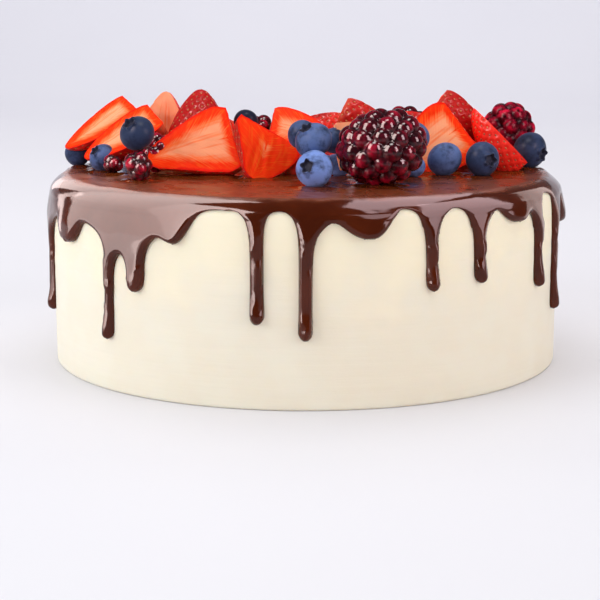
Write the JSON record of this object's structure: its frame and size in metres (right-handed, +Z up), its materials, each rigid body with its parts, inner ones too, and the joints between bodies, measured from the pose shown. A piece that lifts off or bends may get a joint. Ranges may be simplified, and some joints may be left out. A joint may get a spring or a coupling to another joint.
{
  "type": "drip cake",
  "caption": "Round white buttercream cake with a dark chocolate drip glaze and a heap of strawberry pieces, blueberries and brambles on top.",
  "frame": {"origin": "centre of the cake's flat base", "axes": "+Z up, -Y towards the front, where the longest drips and the large bramble are, +X to the right seen from the front"},
  "size_m": [0.2181, 0.2192, 0.1116],
  "materials": {
    "buttercream": "white buttercream, smoothed with a scraper, softly matt",
    "chocolate_glaze": "set dark chocolate ganache, glossy",
    "blueberry": "dark blue skin under a pale waxy bloom",
    "bramble": "glossy near-black drupelets that glow dark red",
    "strawberry": "glossy red skin with seeds, and a moist cut face, orange-red round a pale heart"
  },
  "bodies": {
    "root": {"cream_cake": "buttercream", "glaze": "chocolate_glaze", "blueberry_01": "blueberry", "blueberry_02": "blueberry", "blueberry_03": "blueberry", "blueberry_04": "blueberry", "blueberry_05": "blueberry", "blueberry_06": "blueberry", "blueberry_07": "blueberry", "blueberry_08": "blueberry", "blueberry_09": "blueberry", "blueberry_10": "blueberry", "blueberry_11": "blueberry", "blueberry_12": "blueberry", "blueberry_13": "blueberry", "blueberry_14": "blueberry", "blueberry_15": "blueberry", "blueberry_16": "blueberry", "blueberry_17": "blueberry", "blueberry_18": "blueberry", "blueberry_19": "blueberry", "blueberry_20": "blueberry", "blueberry_21": "blueberry", "blueberry_22": "blueberry", "blueberry_23": "blueberry", "blueberry_24": "blueberry", "bramble_01": "bramble", "bramble_02": "bramble", "bramble_03": "bramble", "bramble_04": "bramble", "bramble_05": "bramble", "bramble_06": "bramble", "bramble_07": "bramble", "bramble_08": "bramble", "bramble_09": "bramble", "strawberry_01": "strawberry", "strawberry_02": "strawberry", "strawberry_03": "strawberry", "strawberry_04": "strawberry", "strawberry_05": "strawberry", "strawberry_06": "strawberry", "strawberry_07": "strawberry", "strawberry_08": "strawberry", "strawberry_09": "strawberry", "strawberry_10": "strawberry", "strawberry_11": "strawberry", "strawberry_12": "strawberry", "strawberry_13": "strawberry", "strawberry_14": "strawberry", "strawberry_15": "strawberry", "strawberry_16": "strawberry", "strawberry_17": "strawberry", "strawberry_18": "strawberry", "strawberry_19": "strawberry", "strawberry_20": "strawberry", "strawberry_21": "strawberry", "strawberry_22": "strawberry"}
  },
  "joints": []
}
